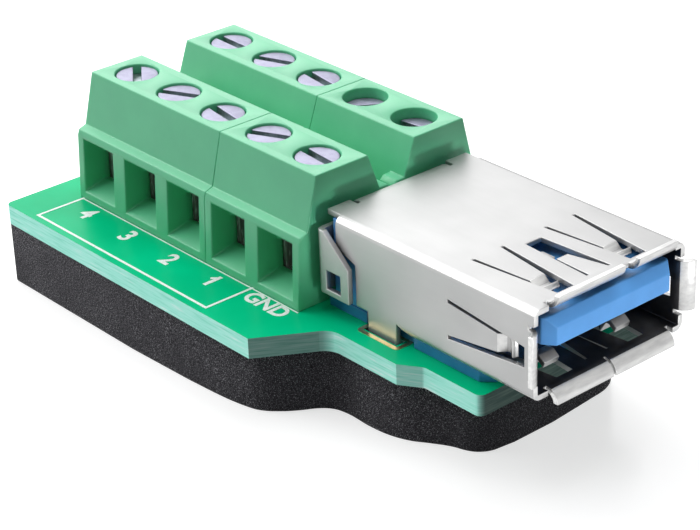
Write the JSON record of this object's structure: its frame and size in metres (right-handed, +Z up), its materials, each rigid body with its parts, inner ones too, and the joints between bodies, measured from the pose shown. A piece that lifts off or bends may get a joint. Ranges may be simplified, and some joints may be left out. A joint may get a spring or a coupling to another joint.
{
  "type": "usb terminal block adapter",
  "caption": "Green adapter board on a black foam pad, with a shielded blue USB receptacle at its nose and two back-to-back rows of screw terminals.",
  "frame": {"origin": "under the middle of the whole adapter, on the underside of its foam pad", "axes": "+X towards the mouth of the receptacle, +Y towards the far terminal row, +Z up"},
  "size_m": [0.0482, 0.0264, 0.0156],
  "materials": {
    "foam": "closed-cell black foam with a fine open grain on its cut sides",
    "board": "glossy green solder mask over glass epoxy",
    "green_plastic": "satin moulded polyamide",
    "screw_steel": "zinc-plated steel with turning marks",
    "cage_steel": "nickel-plated folded sheet",
    "tinned_brass": "tinned strip",
    "shell_metal": "bright nickel-plated sheet",
    "blue_plastic": "satin moulded thermoplastic",
    "gold_contact": "gold-flashed strip"
  },
  "bodies": {
    "root": {"circuit_board": "board", "far_front_terminal_housing": "green_plastic", "far_rear_terminal_housing": "green_plastic", "far_solder_contact_1": "tinned_brass", "far_solder_contact_2": "tinned_brass", "far_solder_contact_3": "tinned_brass", "far_solder_contact_4": "tinned_brass", "far_solder_contact_5": "tinned_brass", "foam_pad": "foam", "near_front_terminal_housing": "green_plastic", "near_rear_terminal_housing": "green_plastic", "near_solder_contact_1": "tinned_brass", "near_solder_contact_2": "tinned_brass", "near_solder_contact_3": "tinned_brass", "near_solder_contact_4": "tinned_brass", "near_solder_contact_5": "tinned_brass", "usb_flat_contact_1": "gold_contact", "usb_flat_contact_2": "gold_contact", "usb_flat_contact_3": "gold_contact", "usb_flat_contact_4": "gold_contact", "usb_flat_contact_5": "gold_contact", "usb_insulator": "blue_plastic", "usb_riser": "blue_plastic", "usb_shell": "shell_metal", "usb_sprung_contact_1": "gold_contact", "usb_sprung_contact_2": "gold_contact", "usb_sprung_contact_3": "gold_contact", "usb_sprung_contact_4": "gold_contact"},
    "near_screw_1": {"near_clamp_screw_1": "screw_steel"},
    "near_cage_1": {"near_clamp_cage_1": "cage_steel"},
    "near_screw_2": {"near_clamp_screw_2": "screw_steel"},
    "near_cage_2": {"near_clamp_cage_2": "cage_steel"},
    "near_screw_3": {"near_clamp_screw_3": "screw_steel"},
    "near_cage_3": {"near_clamp_cage_3": "cage_steel"},
    "near_screw_4": {"near_clamp_screw_4": "screw_steel"},
    "near_cage_4": {"near_clamp_cage_4": "cage_steel"},
    "near_screw_5": {"near_clamp_screw_5": "screw_steel"},
    "near_cage_5": {"near_clamp_cage_5": "cage_steel"},
    "far_screw_1": {"far_clamp_screw_1": "screw_steel"},
    "far_cage_1": {"far_clamp_cage_1": "cage_steel"},
    "far_screw_2": {"far_clamp_screw_2": "screw_steel"},
    "far_cage_2": {"far_clamp_cage_2": "cage_steel"},
    "far_screw_3": {"far_clamp_screw_3": "screw_steel"},
    "far_cage_3": {"far_clamp_cage_3": "cage_steel"},
    "far_screw_4": {"far_clamp_screw_4": "screw_steel"},
    "far_cage_4": {"far_clamp_cage_4": "cage_steel"},
    "far_screw_5": {"far_clamp_screw_5": "screw_steel"},
    "far_cage_5": {"far_clamp_cage_5": "cage_steel"}
  },
  "joints": [
    {"name": "near_screw_1_turn", "type": "hinge", "parent": "root", "child": "near_screw_1", "pos_m": [-0.01878, -0.00433, 0.0135], "axis": [0, 0, -1], "range_deg": [0, 1721]},
    {"name": "near_cage_1_rise", "type": "slide", "parent": "root", "child": "near_cage_1", "axis": [0, 0, 1], "range_m": [0, 0.00215]},
    {"name": "near_screw_2_turn", "type": "hinge", "parent": "root", "child": "near_screw_2", "pos_m": [-0.01378, -0.00433, 0.0135], "axis": [0, 0, -1], "range_deg": [0, 1721]},
    {"name": "near_cage_2_rise", "type": "slide", "parent": "root", "child": "near_cage_2", "axis": [0, 0, 1], "range_m": [0, 0.00215]},
    {"name": "near_screw_3_turn", "type": "hinge", "parent": "root", "child": "near_screw_3", "pos_m": [-0.00877, -0.00433, 0.0135], "axis": [0, 0, -1], "range_deg": [0, 1721]},
    {"name": "near_cage_3_rise", "type": "slide", "parent": "root", "child": "near_cage_3", "axis": [0, 0, 1], "range_m": [0, 0.00215]},
    {"name": "near_screw_4_turn", "type": "hinge", "parent": "root", "child": "near_screw_4", "pos_m": [-0.00378, -0.00433, 0.0135], "axis": [0, 0, -1], "range_deg": [0, 1721]},
    {"name": "near_cage_4_rise", "type": "slide", "parent": "root", "child": "near_cage_4", "axis": [0, 0, 1], "range_m": [0, 0.00215]},
    {"name": "near_screw_5_turn", "type": "hinge", "parent": "root", "child": "near_screw_5", "pos_m": [0.00122, -0.00433, 0.0135], "axis": [0, 0, -1], "range_deg": [0, 1721]},
    {"name": "near_cage_5_rise", "type": "slide", "parent": "root", "child": "near_cage_5", "axis": [0, 0, 1], "range_m": [0, 0.00215]},
    {"name": "far_screw_1_turn", "type": "hinge", "parent": "root", "child": "far_screw_1", "pos_m": [-0.01878, 0.00433, 0.0135], "axis": [0, 0, -1], "range_deg": [0, 1721]},
    {"name": "far_cage_1_rise", "type": "slide", "parent": "root", "child": "far_cage_1", "axis": [0, 0, 1], "range_m": [0, 0.00215]},
    {"name": "far_screw_2_turn", "type": "hinge", "parent": "root", "child": "far_screw_2", "pos_m": [-0.01378, 0.00433, 0.0135], "axis": [0, 0, -1], "range_deg": [0, 1721]},
    {"name": "far_cage_2_rise", "type": "slide", "parent": "root", "child": "far_cage_2", "axis": [0, 0, 1], "range_m": [0, 0.00215]},
    {"name": "far_screw_3_turn", "type": "hinge", "parent": "root", "child": "far_screw_3", "pos_m": [-0.00877, 0.00433, 0.0135], "axis": [0, 0, -1], "range_deg": [0, 1721]},
    {"name": "far_cage_3_rise", "type": "slide", "parent": "root", "child": "far_cage_3", "axis": [0, 0, 1], "range_m": [0, 0.00215]},
    {"name": "far_screw_4_turn", "type": "hinge", "parent": "root", "child": "far_screw_4", "pos_m": [-0.00378, 0.00433, 0.0135], "axis": [0, 0, -1], "range_deg": [0, 1721]},
    {"name": "far_cage_4_rise", "type": "slide", "parent": "root", "child": "far_cage_4", "axis": [0, 0, 1], "range_m": [0, 0.00215]},
    {"name": "far_screw_5_turn", "type": "hinge", "parent": "root", "child": "far_screw_5", "pos_m": [0.00122, 0.00433, 0.0135], "axis": [0, 0, -1], "range_deg": [0, 1721]},
    {"name": "far_cage_5_rise", "type": "slide", "parent": "root", "child": "far_cage_5", "axis": [0, 0, 1], "range_m": [0, 0.00215]}
  ],
  "couplings": [
    {"joint": "near_screw_1_turn", "follows": "near_cage_1_rise", "rad_per_m": 13963},
    {"joint": "near_screw_2_turn", "follows": "near_cage_2_rise", "rad_per_m": 13963},
    {"joint": "near_screw_3_turn", "follows": "near_cage_3_rise", "rad_per_m": 13963},
    {"joint": "near_screw_4_turn", "follows": "near_cage_4_rise", "rad_per_m": 13963},
    {"joint": "near_screw_5_turn", "follows": "near_cage_5_rise", "rad_per_m": 13963},
    {"joint": "far_screw_1_turn", "follows": "far_cage_1_rise", "rad_per_m": 13963},
    {"joint": "far_screw_2_turn", "follows": "far_cage_2_rise", "rad_per_m": 13963},
    {"joint": "far_screw_3_turn", "follows": "far_cage_3_rise", "rad_per_m": 13963},
    {"joint": "far_screw_4_turn", "follows": "far_cage_4_rise", "rad_per_m": 13963},
    {"joint": "far_screw_5_turn", "follows": "far_cage_5_rise", "rad_per_m": 13963}
  ]
}
